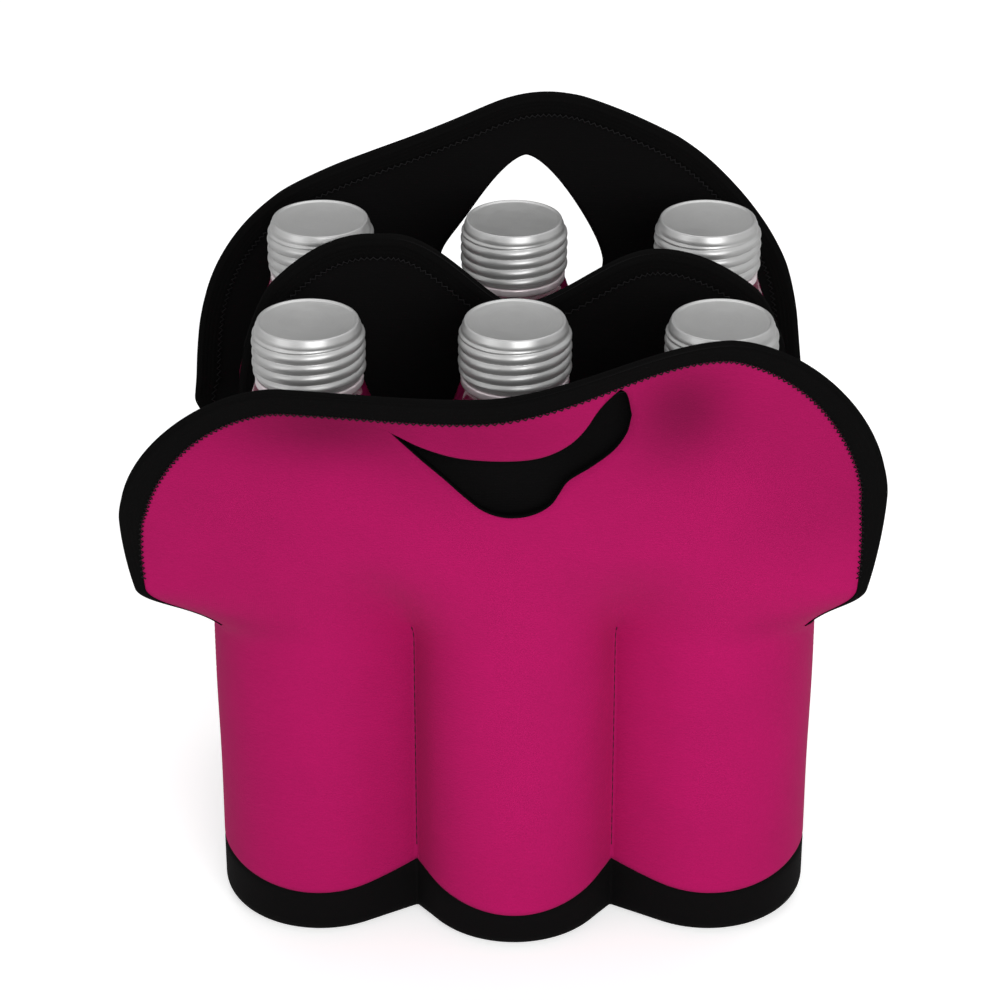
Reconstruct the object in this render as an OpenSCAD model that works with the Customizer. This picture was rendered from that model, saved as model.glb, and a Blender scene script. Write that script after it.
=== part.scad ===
// Six pack carrier: a tote of soft foam sheet with six stitched pockets, two flaps and six bottles
// X runs across the three columns, Y from the front row to the rear row, Z up from the floor

/* [Bottles] */
// Diameter of a bottle's straight wall
bottle_d = 58; // [56:0.5:60]
// Height of a bottle from its foot to its lip
bottle_h = 204.5; // [198:0.5:208]
// Height at which the straight wall would meet the cone of the shoulder
shoulder_z = 152; // [148:1:156]
// Radius that rounds the shoulder
shoulder_r = 25; // [10:1:40]
// Radius that rounds the foot
heel_r = 5; // [3:0.5:8]
// Depth of the hollow under the foot
punt_h = 4; // [2:0.5:6]
// Diameter of the neck under the tamper band
neck_d = 34; // [33:0.25:35]
// Diameter of the glass inside the cap
finish_d = 31; // [30:0.25:31.5]
// Thickness of the glass
glass_t = 2.5; // [2:0.1:3.2]
// Distance of the drink's level below the lip
fill_drop = 3.5; // [2.5:0.25:3.75]

/* [Caps] */
// Diameter over the rolled rings of a cap
cap_d = 36; // [35.5:0.25:37]
// Height of a cap
cap_h = 18.5; // [17:0.25:20]
// Thickness of the cap's sheet metal with its lacquer
cap_t = 0.9; // [0.6:0.1:1.1]
// Number of rolled rings around a cap
cap_rings = 4; // [3:1:6]
// Thickness of the seal inside a cap
liner_t = 1.2; // [0.8:0.1:1.6]
// Height of the tamper band left on the neck
tamper_h = 2.8; // [2:0.1:3.4]
// Radial gap between the glass and what screws or snaps over it
neck_gap = 0.4; // [0.2:0.05:0.6]
// Gap between faces that rest on each other
seat_gap = 0.2; // [0.1:0.05:0.3]

/* [Pockets] */
// Thickness of the foam sheet of the panels
sheet_t = 3; // [2:0.25:3.5]
// Space between a bottle and its pocket
pocket_gap = 1; // [0.5:0.25:1.5]
// Space between neighbouring bottles of a row
column_gap = 6.5; // [6:0.25:9]
// Space between the front row and the rear row
row_gap = 22; // [16:1:26]
// How far the middle pocket bulges past the outer two
middle_bulge = 8; // [3:0.5:9]
// How far outside the bottles' axes the pocket creases lie
crease_out = 17.5; // [15.5:0.5:20]
// Distance from a bottle's axis out to the side seam
seam_out = 30; // [29:0.5:31]
// Height of the side seams
seam_h = 84; // [76:1:92]
// Height of the pocket seams and of the short walls
web_h = 108; // [102:1:109]
// Thickness of the short walls between the pockets
web_t = 2.5; // [2:0.25:3]

/* [Base] */
// Thickness of the floor
floor_t = 3; // [2:0.25:4]
// Radius that rounds the lower edge of the base
base_round = 6; // [4:0.5:9]
// Height of the base band on the middle pockets
band_mid_h = 13; // [11:0.5:16]
// Height of the base band on the outer pockets
band_side_h = 16.5; // [13:0.5:18]
// Height of the base band at the creases
band_crease_h = 21; // [19:0.5:26]

/* [Divider] */
// Thickness of the middle wall
divider_t = 3; // [2:0.25:4]
// Height of the left hump of the middle wall
hump_left_h = 220; // [212:1:228]
// Height of the right hump
hump_right_h = 215; // [212:1:228]
// Distance of each hump from the middle
hump_x = 46; // [40:1:50]
// Height of the dip between the humps
valley_h = 196; // [186:1:204]
// Height at which the top edge turns down to the sides
divider_side_h = 192; // [182:1:200]
// Half width of the middle wall above the side seams
divider_half_w = 88; // [84:1:90]

/* [Flaps] */
// Height of the line that the flaps bend along
hinge_h = 112; // [110:1:114]
// Gap between a flap and its panel along the bend
hinge_gap = 0.3; // [0.2:0.05:0.6]
// How far outside the bottles' axes a flat flap lies
flap_out = 38; // [36:0.5:42]
// How far the wings sweep back towards the bottles
wing_back = 14; // [8:1:18]
// Width of the binding along the free edges
binding_w = 7; // [5:0.5:9]
// How much the binding stands out on each face
binding_t = 0.6; // [0.3:0.1:1]

/* [Front flap] */
// Sideways lean of the front flap
front_shift = -4; // [-6:0.5:6]
// Forward lean of the front flap for each unit of height
front_lean = 0.12; // [0.05:0.01:0.2]
// Half width of the sheet at the bend
front_root_w = 106; // [100:1:112]
// Half width over the tips of the wings
wing_half_w = 119; // [112:1:126]
// Height of the left tip above the bend
tip_left_h = 44; // [38:1:50]
// Height of the right tip above the bend
tip_right_h = 53; // [46:1:60]
// Distance of each shoulder from the middle
shoulder_x = 67; // [60:1:76]
// Height of the left shoulder above the bend
shoulder_left_h = 95; // [90:1:100]
// Height of the right shoulder above the bend
shoulder_right_h = 112; // [104:1:116]
// Height of the dip above the bend
dip_h = 93; // [88:1:96]
// Distance of the dip to the left of the middle
dip_x = 8; // [0:1:16]
// Fullness of the wings, where 2 is an ellipse
wing_fullness = 1.7; // [1.5:0.05:2.2]

/* [Finger slot] */
// Half width of the slot
slot_half_w = 35.5; // [30:0.5:40]
// Distance of the slot to the right of the middle
slot_x = 3; // [0:0.5:5]
// Half of the slot's greatest width across the curve
slot_half_t = 9.8; // [8:0.2:11]
// Half width of its right arm
slot_arm_t = 6; // [4:0.2:8]
// Height of the middle of the slot above the bend
slot_h = 60.5; // [57:0.5:63]
// How far the left end rises
slot_left_rise = 22; // [16:1:24]
// How far the right end rises
slot_right_rise = 36; // [28:1:38]
// Depth of the finger pocket behind the slot
lining_depth = 5; // [4:0.25:5.5]
// Thickness of the lining behind the slot
lining_t = 1.2; // [0.8:0.1:1.5]
// How far the lining runs past the slot on every side
lining_margin = 9; // [6:0.5:11]

/* [Handle flap] */
// Sideways lean of the handle flap
handle_shift = -5.5; // [-8:0.5:8]
// Backward lean of the handle flap for each unit of height
handle_lean = 0.04; // [0:0.01:0.1]
// Half width of the sheet at the bend of the handle flap
handle_root_w = 107; // [100:1:112]
// Half width of the handle flap
handle_half_w = 108; // [98:0.5:112]
// Height of its widest point above the bend
handle_side_h = 33; // [26:1:40]
// Height of the handle's top above the bend
handle_h = 125.5; // [118:0.5:136]
// How far right of the middle the top of the arch lies
handle_top_x = 14; // [0:1:24]
// Fullness of the left side of the arch, where 2 is an ellipse
handle_left_fullness = 1.6; // [1.5:0.05:2.2]
// Fullness of the right side of the arch
handle_right_fullness = 1.85; // [1.5:0.05:2.2]
// Half width of the hand opening at its foot
grip_half_w = 42; // [34:1:46]
// Distance of the hand opening to the right of the middle
grip_x = 10.5; // [0:0.5:14]
// Height of the foot of the hand opening above the bend
grip_low_h = 51; // [46:1:56]
// Height of the hand opening
grip_h = 53; // [46:1:58]

/* [Hidden] */
side_names = ["left", "centre", "right"];
row_names = ["front", "rear"];
piece_names = ["bottle", "drink", "tamper_band", "cap", "cap_liner"];
tote_names = [
    "base_panel", "front_panel", "rear_panel", "divider", "divider_binding",
    "web_front_left", "web_front_right", "web_rear_left", "web_rear_right",
    "front_flap", "front_binding", "grip_lining", "handle_flap", "handle_binding"
];
$fn = 96;

pitch_x = bottle_d + column_gap;
row_y = (bottle_d + row_gap) / 2;
pocket_r = bottle_d / 2 + pocket_gap + sheet_t / 2;
crease_x = pitch_x / 2;
seam_gap = 0.1;
tape_gap = 0.25;
seam_x = pitch_x + seam_out;
seam_y = divider_t / 2 + seam_gap;
hinge_y = row_y + middle_bulge + pocket_r + sheet_t / 2 + hinge_gap;
flap_y = row_y + flap_out;
neck_z = bottle_h + seat_gap + liner_t + cap_t - cap_h - seat_gap - tamper_h;

black = [0.05, 0.05, 0.055];
magenta = [0.70, 0.11, 0.38];
aluminium = [0.72, 0.72, 0.71];

function mix(a, b, t) = a + (b - a) * t;
function clamp(t) = min(1, max(0, t));
function ease(t) = clamp(t) * clamp(t) * (3 - 2 * clamp(t));
function reversed(list) = [for (i = [len(list) - 1:-1:0]) list[i]];
function joined(lists) = [for (list = lists) for (p = list) p];
function tail(list) = [for (i = [1:1:len(list) - 1]) list[i]];
function arc(c, r, a0, a1, n) = [for (i = [0:n]) c + r * [cos(mix(a0, a1, i / n)), sin(mix(a0, a1, i / n))]];

// Angle on a circle where the line from an outside point p touches it, on the side given by turn
function touch(c, r, p, turn) = atan2(p[1] - c[1], p[0] - c[0]) + turn * acos(r / norm(p - c));

// Right half of the front pockets' cross-section, at an offset from the middle of the sheet
function half_curve(o) =
    let (
        r = pocket_r + o,
        mid = [0, -row_y - middle_bulge],
        side = [pitch_x, -row_y],
        crease = [crease_x, -row_y - crease_out - o],
        seam = [seam_x + o, -seam_y],
        foot = side + r * [cos(touch(side, r, seam, -1)), sin(touch(side, r, seam, -1))]
    )
    concat(
        arc(mid, r, -90, touch(mid, r, crease, -1), 6),
        [crease],
        arc(side, r, touch(side, r, crease, 1), touch(side, r, seam, -1), 14),
        [for (i = [1:3]) mix(foot, seam, i / 3)]
    );
function whole_curve(o) =
    let (half = half_curve(o))
    concat(reversed([for (p = tail(half)) [-p[0], p[1]]]), half);

// Lengths along the middle of the sheet, with the curve and its outward direction at each
half_mid = half_curve(0);
half_out = (half_curve(sheet_t / 2) - half_curve(-sheet_t / 2)) / sheet_t;
lengths = [for (i = 0, s = 0; i < len(half_mid); i = i + 1, s = s + (i < len(half_mid) ? norm(half_mid[i] - half_mid[i - 1]) : 0)) s];
sheet_half = lengths[len(lengths) - 1];
crease_u = lengths[7];
function column(values, k) = [for (i = [0:len(lengths) - 1]) [lengths[i], values[i][k]]];
curve_x = column(half_mid, 0);
curve_y = column(half_mid, 1);
out_x = column(half_out, 0);
out_y = column(half_out, 1);

// How far the sheet has opened from its pockets to the flat flap, at length u and height z
function opened(u, z) =
    let (
        edge = ease((abs(u) - crease_u) / (wing_half_w - crease_u)),
        low = web_h - 2,
        high = mix(hinge_h + 38, hinge_h + 18, edge)
    )
    ease((z - low) / (high - low));

// A point of the sheet at length u and height z, offset from its middle, with the flap's shift and lean
function sheet(u, z, o, pose) =
    let (
        a = abs(u),
        s = u < 0 ? -1 : 1,
        w = opened(u, z),
        pocket = [s * (lookup(a, curve_x) + o * lookup(a, out_x)), lookup(a, curve_y) + o * lookup(a, out_y)],
        flat = [u + pose[0], -flap_y + wing_back * pow(a / wing_half_w, 2.5) - o],
        p = mix(pocket, flat, w)
    )
    [p[0], p[1] - pose[1] * max(0, z - hinge_h), z];

// Height of the base band at a place along the pockets
function band_h(x) =
    let (a = abs(x))
    a < crease_x
        ? mix(band_mid_h, band_crease_h, pow(a / crease_x, 2))
        : mix(band_side_h, band_crease_h, pow((a - pitch_x) / crease_x, 2));

// A closed slab between two grids of points, each a list of rows
module slab(outer, inner) {
    rows = len(outer) - 1;
    cols = len(outer[0]) - 1;
    size = (rows + 1) * (cols + 1);
    function at(r, c) = r * (cols + 1) + c;
    function two(a, b, c, d) = [[a, b, c], [a, c, d]];
    function split(c, a, b, d, e) = c < cols / 2 ? two(b, d, e, a) : two(a, b, d, e);
    faces = joined(concat(
        [for (r = [0:rows - 1], c = [0:cols - 1])
            split(c, at(r, c), at(r + 1, c), at(r + 1, c + 1), at(r, c + 1))],
        [for (r = [0:rows - 1], c = [0:cols - 1])
            split(c, size + at(r, c), size + at(r, c + 1), size + at(r + 1, c + 1), size + at(r + 1, c))],
        [for (c = [0:cols - 1]) two(at(0, c), at(0, c + 1), size + at(0, c + 1), size + at(0, c))],
        [for (c = [0:cols - 1])
            two(at(rows, c), size + at(rows, c), size + at(rows, c + 1), at(rows, c + 1))],
        [for (r = [0:rows - 1]) two(at(r, 0), size + at(r, 0), size + at(r + 1, 0), at(r + 1, 0))],
        [for (r = [0:rows - 1])
            two(at(r + 1, cols), size + at(r + 1, cols), size + at(r, cols), at(r, cols))]
    ));
    polyhedron(points = concat(joined(outer), joined(inner)), faces = faces, convexity = 6);
}

// A closed stack of rings with flat ends
module stack(rings) {
    n = len(rings[0]);
    faces = concat(
        [[for (i = [0:n - 1]) i]],
        [for (r = [0:len(rings) - 2], i = [0:n - 1])
            [r * n + i, (r + 1) * n + i, (r + 1) * n + (i + 1) % n]],
        [for (r = [0:len(rings) - 2], i = [0:n - 1])
            [r * n + i, (r + 1) * n + (i + 1) % n, r * n + (i + 1) % n]],
        [[for (i = [n - 1:-1:0]) (len(rings) - 1) * n + i]]
    );
    polyhedron(points = joined(rings), faces = faces, convexity = 6);
}

// Tray under all six pockets, with a rounded lower edge and a scalloped rim
module base_panel() {
    function ring(o) =
        let (front = whole_curve(o))
        concat(front, reversed([for (p = front) [p[0], -p[1]]]));
    rim = [for (p = ring(0)) band_h(p[0])];
    function level(o, z) = [for (p = ring(o)) [p[0], p[1], z]];
    function rimmed(o) = [for (i = [0:len(rim) - 1]) [ring(o)[i][0], ring(o)[i][1], rim[i]]];
    t = sheet_t / 2;
    color(black)
        stack(concat(
            [for (a = [0:22.5:90]) level(t - base_round * (1 - sin(a)), base_round * (1 - cos(a)))],
            [rimmed(t), rimmed(-t), level(-t, floor_t)]
        ));
}

// Stitched lower part of a panel, from the base band up to the line that the flap bends along
module pocket_panel(pose, root) {
    mid = whole_curve(0);
    half = len(half_mid) - 1;
    heights = [seam_h / 2, seam_h, mix(seam_h, hinge_h, 0.25), mix(seam_h, hinge_h, 0.5),
        mix(seam_h, hinge_h, 0.75), hinge_h - hinge_gap / 2];
    function place(i, z) =
        let (
            u = lengths[abs(i - half)] * (i < half ? -1 : 1),
            narrow = mix(1, root / sheet_half, clamp((z - seam_h) / (hinge_h - seam_h)))
        )
        u * narrow;
    function face(o) = concat(
        [[for (i = [0:2 * half]) sheet(place(i, 0), band_h(mid[i][0]) + tape_gap, o, pose)]],
        [for (z = heights) [for (i = [0:2 * half]) sheet(place(i, z), z, o, pose)]]
    );
    color(magenta) slab(face(sheet_t / 2), face(-sheet_t / 2));
}

// Middle wall, held in both side seams, with two humps that rise between the necks
function divider_top(x) =
    let (a = abs(x), top = x < 0 ? hump_left_h : hump_right_h)
    a < hump_x
        ? mix(valley_h, top, ease(a / hump_x))
        : mix(top, divider_side_h, pow((a - hump_x) / (divider_half_w - hump_x), 2));
divider_edge = concat(
    [[-divider_half_w - 4, seam_h + 46], [-divider_half_w - 1.5, divider_side_h - 14]],
    [for (i = [-16:16]) let (x = divider_half_w * i / 16) [x, divider_top(x)]],
    [[divider_half_w + 1.5, divider_side_h - 14], [divider_half_w + 4, seam_h + 46]]
);

// The edge moved inwards by a width that grows from its ends
function inset(edge, width, ramp) = [
    for (i = [0:len(edge) - 1])
        let (
            a = edge[max(0, i - 1)],
            b = edge[min(len(edge) - 1, i + 1)],
            d = (b - a) / norm(b - a),
            grow = clamp((min(i, len(edge) - 1 - i) + 0.15) / ramp)
        )
        edge[i] + width * grow * [d[1], -d[0]]
];

module divider() {
    step = band_h(seam_x) + seam_gap;
    inside = seam_x - sheet_t / 2 - seam_gap;
    outside = seam_x + sheet_t / 2 + 1.5;
    edge = inset(divider_edge, binding_w - 1, 2);
    color(black)
        translate([0, divider_t / 2, 0])
            rotate([90, 0, 0])
                linear_extrude(divider_t)
                    polygon(concat(
                        [[-inside, floor_t], [-inside, step], [-outside, step], [-outside, seam_h]],
                        edge,
                        [[outside, seam_h], [outside, step], [inside, step], [inside, floor_t]]
                    ));
}

module divider_binding() {
    t = divider_t + 2 * binding_t;
    color(black)
        translate([0, t / 2, 0])
            rotate([90, 0, 0])
                linear_extrude(t)
                    polygon(concat(divider_edge, reversed(inset(divider_edge, binding_w - 1, 2))));
}

// Short wall from the middle wall to a crease, in the front row
module web(side, pose) {
    heights = [floor_t, seam_h, mix(seam_h, web_h, 1 / 3), mix(seam_h, web_h, 2 / 3), web_h];
    edge = [for (z = heights) [sheet(side * crease_u, z, -sheet_t / 2, pose)[1] + seam_gap, z]];
    color(black)
        translate([side * crease_x - web_t / 2, 0, 0])
            rotate([90, 0, 90])
                linear_extrude(web_t)
                    polygon(concat([[-seam_y, web_h], [-seam_y, floor_t]], edge));
}

// Free edge of the front flap, from its left root over the wings and the dip to its right root
function swell(v, fullness) = sign(v) * pow(abs(v), 2 / fullness);
function quarter(c, a, b, from, to, n) = [
    for (i = [1:n])
        let (g = mix(from, to, i / n))
        c + [a * swell(cos(g), wing_fullness), b * swell(sin(g), wing_fullness)]
];
function front_top(x) =
    x < -dip_x
        ? mix(dip_h, shoulder_left_h, ease((-dip_x - x) / (shoulder_x - dip_x)))
        : mix(dip_h, shoulder_right_h, ease((x + dip_x) / (shoulder_x + dip_x)));
function lifted(points) = [for (p = points) [p[0], p[1] + hinge_h + hinge_gap / 2]];
under_w = wing_half_w - front_root_w;
over_w = wing_half_w - shoulder_x;
front_edge = lifted(concat(
    [[-front_root_w, 0]],
    quarter([-front_root_w, tip_left_h], under_w, tip_left_h, 270, 180, 4),
    quarter([-shoulder_x, tip_left_h], over_w, shoulder_left_h - tip_left_h, 180, 90, 6),
    [for (i = [1:40]) let (x = mix(-shoulder_x, shoulder_x, i / 40)) [x, front_top(x)]],
    quarter([shoulder_x, tip_right_h], over_w, shoulder_right_h - tip_right_h, 90, 0, 6),
    quarter([front_root_w, tip_right_h], under_w, tip_right_h, 0, -90, 4)
));

// Free edge of the handle flap, a full arch on two short upright sides
arch_h = handle_h - handle_side_h;
function arch(a) =
    let (
        w = handle_half_w + (cos(a) < 0 ? handle_top_x : -handle_top_x),
        fullness = cos(a) < 0 ? handle_left_fullness : handle_right_fullness
    )
    [handle_top_x + w * swell(cos(a), fullness), handle_side_h + arch_h * swell(sin(a), fullness)];
handle_edge = lifted(concat(
    [for (i = [0:4]) [mix(-handle_root_w, -handle_half_w, i / 4), handle_side_h * i / 4]],
    [for (i = [1:6]) arch(mix(180, 150, i / 6))],
    [for (i = [1:40]) arch(mix(150, 30, i / 40))],
    [for (i = [1:6]) arch(mix(30, 0, i / 6))],
    [for (i = [3:-1:0]) [mix(handle_root_w, handle_half_w, i / 4), handle_side_h * i / 4]]
));

// A grid that fills the space between a straight bend line and a free edge of 10, 40 and 10 steps
function filled(edge) =
    let (
        left = [for (i = [0:10]) edge[i]],
        top = [for (i = [10:50]) edge[i]],
        right = reversed([for (i = [50:60]) edge[i]]),
        low = [for (i = [0:40]) mix(left[0], right[0], i / 40)]
    )
    [for (r = [0:10]) [for (c = [0:40])
        let (s = c / 40, t = r / 10)
        mix(low[c], top[c], t) + mix(left[r], right[r], s)
            - mix(mix(left[0], right[0], s), mix(left[10], right[10], s), t)
    ]];
function bound(edge, width) =
    let (in = inset(edge, width, 5))
    [for (i = [0:len(edge) - 1])
        i == 0 || i == len(edge) - 1 ? [in[i][0], edge[i][1]] : [in[i][0], max(in[i][1], edge[0][1] + 0.2)]];
function placed(rows, o, pose) = [for (row = rows) [for (p = row) sheet(p[0], p[1], o, pose)]];

module flap_sheet(edge, pose) {
    rows = filled(bound(edge, binding_w + tape_gap));
    slab(placed(rows, sheet_t / 2, pose), placed(rows, -sheet_t / 2, pose));
}

// Folded tape around a free edge, a little thicker than the sheet and rounded outside
module flap_binding(edge, pose) {
    foot = bound(edge, binding_w);
    rows = [foot, mix(foot, edge, 0.7), edge];
    half = [sheet_t / 2 + binding_t, sheet_t / 2 + binding_t, sheet_t / 2];
    function face(s) = [for (r = [0:2]) [for (p = rows[r]) sheet(p[0], p[1], s * half[r], pose)]];
    color(black) slab(face(1), face(-1));
}

// Smile-shaped finger slot, wide in the middle, pointed on the left and blunt on the right
function slot_mid(s) =
    let (k = 2 * s - 1)
    [k * slot_half_w + slot_x, slot_h + (k < 0 ? slot_left_rise : slot_right_rise) * k * k];
function slot_width(s) =
    s < 0.5
        ? slot_half_t * sin(180 * s)
        : mix(slot_half_t, slot_arm_t, ease((s - 0.5) / 0.22)) * sqrt(clamp(1 - pow(max(0, s - 0.84) / 0.16, 2)));
function slot_side(s, side) =
    let (d = slot_mid(min(1, s + 0.01)) - slot_mid(max(0, s - 0.01)))
    slot_mid(s) + side * slot_width(s) * [-d[1], d[0]] / norm(d);
function across(n) = [for (i = [0:n]) 0.5 - 0.5 * cos(180 * i / n)];

module front_flap() {
    slot = concat(
        [for (s = across(20)) slot_side(s, 1)],
        reversed([for (i = [1:19]) slot_side(across(20)[i], -1)])
    );
    color(magenta)
        difference() {
            flap_sheet(front_edge, [front_shift, front_lean]);
            translate([front_shift, -hinge_y + 10, hinge_h])
                rotate([90, 0, 0])
                    linear_extrude(50)
                        polygon(slot);
        }
}

// Bell-shaped hand opening of the handle
function grip_side(a) =
    let (
        t = 0.5 + 0.5 * sin(a),
        w = grip_half_w * pow(1 - t, 0.7) * sqrt(1 - pow(1 - t, 6))
    )
    [sign(cos(a)) * w + grip_x, grip_low_h + grip_h * t];

module handle_flap() {
    color(magenta)
        difference() {
            flap_sheet(handle_edge, [handle_shift, handle_lean]);
            translate([handle_shift, -hinge_y + 10, hinge_h])
                rotate([90, 0, 0])
                    linear_extrude(50)
                        polygon([for (i = [0:39]) grip_side(-90 + 9 * i + 0.01)]);
        }
}

// Shallow pouch sewn behind the slot, deepest in its middle
module grip_lining() {
    cols = 16;
    rows = 6;
    reach = slot_half_w + lining_margin;
    function low(k) = slot_mid(clamp(0.5 + k / 2))[1] - slot_width(clamp(0.5 + k / 2)) - lining_margin;
    function high(k) = min(
        slot_mid(clamp(0.5 + k / 2))[1] + slot_width(clamp(0.5 + k / 2)) + lining_margin,
        front_top(slot_x + k * reach) - binding_w - 2
    );
    function grid(back) = [for (r = [0:rows]) [for (c = [0:cols])
        let (
            k = 2 * c / cols - 1,
            depth = lining_depth * sqrt(sin(180 * r / rows) * sin(180 * c / cols))
        )
        sheet(
            slot_x + k * reach, hinge_h + mix(low(k), high(k), r / rows),
            -sheet_t / 2 - seat_gap - depth - back, [front_shift, front_lean]
        )
    ]];
    color(black) slab(grid(0), grid(lining_t));
}

// Outline of a bottle's glass from its foot to the ledge under the tamper band
cone_slope = (bottle_d - neck_d) / 2 / (neck_z - shoulder_z);
cone_a = atan(cone_slope);
shoulder_run = shoulder_r * tan(cone_a / 2);
function glass_side(t) = concat(
    arc([bottle_d / 2 - heel_r, heel_r], heel_r - t, -90, 0, 5),
    arc([bottle_d / 2 - shoulder_r, shoulder_z - shoulder_run], shoulder_r - t, 0, cone_a, 5),
    [[neck_d / 2 - t / cos(cone_a), neck_z]]
);

module bottle() {
    color([0.86, 0.9, 0.9, 0.4])
        rotate_extrude()
            polygon(concat(
                [[0, punt_h], [bottle_d / 2 - heel_r - 8, punt_h - 1]],
                glass_side(0),
                [[finish_d / 2, neck_z], [finish_d / 2, bottle_h], [finish_d / 2 - glass_t, bottle_h]],
                reversed(glass_side(glass_t)),
                [[bottle_d / 2 - heel_r - 8, punt_h - 1 + glass_t], [0, punt_h + glass_t]]
            ));
}

// Drink, a hair inside the glass
module drink() {
    t = glass_t + 0.05;
    r = finish_d / 2 - t;
    color([0.55, 0.03, 0.22])
        rotate_extrude()
            polygon(concat(
                [[0, punt_h + t], [bottle_d / 2 - heel_r - 8, punt_h - 1 + t]],
                glass_side(t),
                [[r, neck_z], [r, bottle_h - fill_drop], [0, bottle_h - fill_drop]]
            ));
}

// Band that stays on the neck when the cap has come off
module tamper_band() {
    color([0.92, 0.85, 0.88])
        translate([0, 0, neck_z])
            rotate_extrude()
                translate([finish_d / 2 + neck_gap, 0])
                    square([(neck_d - finish_d) / 2 - neck_gap + 0.2, tamper_h]);
}

// Rolled metal cap with rings around its skirt
module cap() {
    foot = neck_z + tamper_h + seat_gap;
    top = foot + cap_h;
    inner = finish_d / 2 + neck_gap;
    ring_t = cap_d / 2 - inner - cap_t;
    pitch = (cap_h - 1) / cap_rings;
    steps = 6;
    color(aluminium)
        rotate_extrude()
            polygon(concat(
                [[0, top - cap_t], [inner, top - cap_t], [inner, foot]],
                [for (i = [0:cap_rings * steps])
                    [inner + cap_t + ring_t * abs(sin(180 * i / steps)), foot + 0.4 + pitch * i / steps]],
                [[inner, top], [0, top]]
            ));
}

// Soft seal between the cap and the lip
module cap_liner() {
    color([0.95, 0.95, 0.93])
        translate([0, 0, bottle_h + seat_gap])
            cylinder(h = liner_t, r = finish_d / 2);
}

module piece(name) {
    if (name == "bottle") bottle();
    if (name == "drink") drink();
    if (name == "tamper_band") tamper_band();
    if (name == "cap") cap();
    if (name == "cap_liner") cap_liner();
}

base_panel();
pocket_panel([front_shift, front_lean], front_root_w);  // front_panel
mirror([0, 1, 0]) pocket_panel([handle_shift, handle_lean], handle_root_w);  // rear_panel
divider();
divider_binding();
web(-1, [front_shift, front_lean]);  // web_front_left
web(1, [front_shift, front_lean]);  // web_front_right
mirror([0, 1, 0]) web(-1, [handle_shift, handle_lean]);  // web_rear_left
mirror([0, 1, 0]) web(1, [handle_shift, handle_lean]);  // web_rear_right
front_flap();
flap_binding(front_edge, [front_shift, front_lean]);  // front_binding
grip_lining();
mirror([0, 1, 0]) handle_flap();
mirror([0, 1, 0]) flap_binding(handle_edge, [handle_shift, handle_lean]);  // handle_binding

for (r = [0, 1], s = [0:2], p = piece_names)
    translate([(s - 1) * pitch_x, (2 * r - 1) * row_y, floor_t])
            piece(p);
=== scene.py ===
"""Six pack carrier: cloth, tape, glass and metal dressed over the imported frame, in metres."""
import math
from functools import partial

import bmesh
import bpy
import numpy as np
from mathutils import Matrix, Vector


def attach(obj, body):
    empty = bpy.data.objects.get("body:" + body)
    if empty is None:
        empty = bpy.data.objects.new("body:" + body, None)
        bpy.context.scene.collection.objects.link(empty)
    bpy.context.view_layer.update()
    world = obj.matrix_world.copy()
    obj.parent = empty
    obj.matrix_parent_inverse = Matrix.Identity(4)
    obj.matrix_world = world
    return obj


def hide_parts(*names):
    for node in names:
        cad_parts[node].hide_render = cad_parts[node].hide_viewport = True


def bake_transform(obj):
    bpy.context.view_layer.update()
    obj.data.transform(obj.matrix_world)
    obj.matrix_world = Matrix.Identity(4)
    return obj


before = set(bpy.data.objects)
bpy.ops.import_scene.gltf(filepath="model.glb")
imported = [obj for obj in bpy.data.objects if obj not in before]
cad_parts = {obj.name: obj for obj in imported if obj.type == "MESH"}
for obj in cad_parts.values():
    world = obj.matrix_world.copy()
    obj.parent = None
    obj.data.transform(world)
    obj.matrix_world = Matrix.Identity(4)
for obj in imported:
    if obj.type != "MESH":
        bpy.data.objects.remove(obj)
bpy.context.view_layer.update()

# Driving sizes, in metres, as the frame was built
MM = 0.001
SHEET_T = 3 * MM
POCKET_R = 31.5 * MM
PITCH = 64.5 * MM
ROW_Y = 40 * MM
BULGE = 8 * MM
CREASE_OUT = 17.5 * MM
SEAM = np.array([94.5, -1.6]) * MM
SEAM_H = 84 * MM
WEB_H = 108 * MM
WEB_T = 2.5 * MM
HINGE_H = 112 * MM
FLAP_Y = 78 * MM
WING_BACK = 14 * MM
TAPE_W = 7 * MM
TAPE_T = 0.6 * MM
FLOOR_T = 3 * MM
BASE_ROUND = 6 * MM
BAND_MIDDLE, BAND_OUTER, BAND_CREASE = 13 * MM, 16.5 * MM, 21 * MM
DIVIDER_T = 3 * MM
DIVIDER_HALF = 88
WING_W = 119 * MM
CLOTH_TUCK = 0.18
THREAD_SIDES = 5
THREAD_R = 0.26 * MM
STITCH_PITCH = 2.4 * MM
STITCH_SWING = 0.6 * MM
CREASE_PITCH = 3.2 * MM
SEAM_PINCH = 0.7 * MM
WELD_GAP = 0.002 * MM

# Each side's sideways shift, lean, root of its flap, side of the tote, tape and the size its sheet is cut to
FRONT = {"shift": -4 * MM, "lean": 0.12, "root": 106 * MM, "turn": 1, "ramp": 55 * MM, "drawn": 0.3,
         "cut": (0.329, 0.211)}
REAR = {"shift": -5.5 * MM, "lean": 0.04, "root": 107 * MM, "turn": -1, "ramp": 26 * MM, "drawn": 0.0,
        "cut": (0.329, 0.225)}

SIDES = ((-1, "left"), (1, "right"))

# Flat sizes of the other sheets
POUCH_CUT = (0.089, 0.062)
POUCH_T = 1.2 * MM
POUCH_DEPTH = 5 * MM
POUCH_BORDER = 8.5 * MM


def mix(a, b, t):
    """A share t of the way from a to b."""
    return a + (b - a) * t


def ease(t):
    """A soft step from 0 to 1: 3 t squared less 2 t cubed."""
    t = np.clip(t, 0, 1)
    return t * t * (3 - 2 * t)


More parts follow.
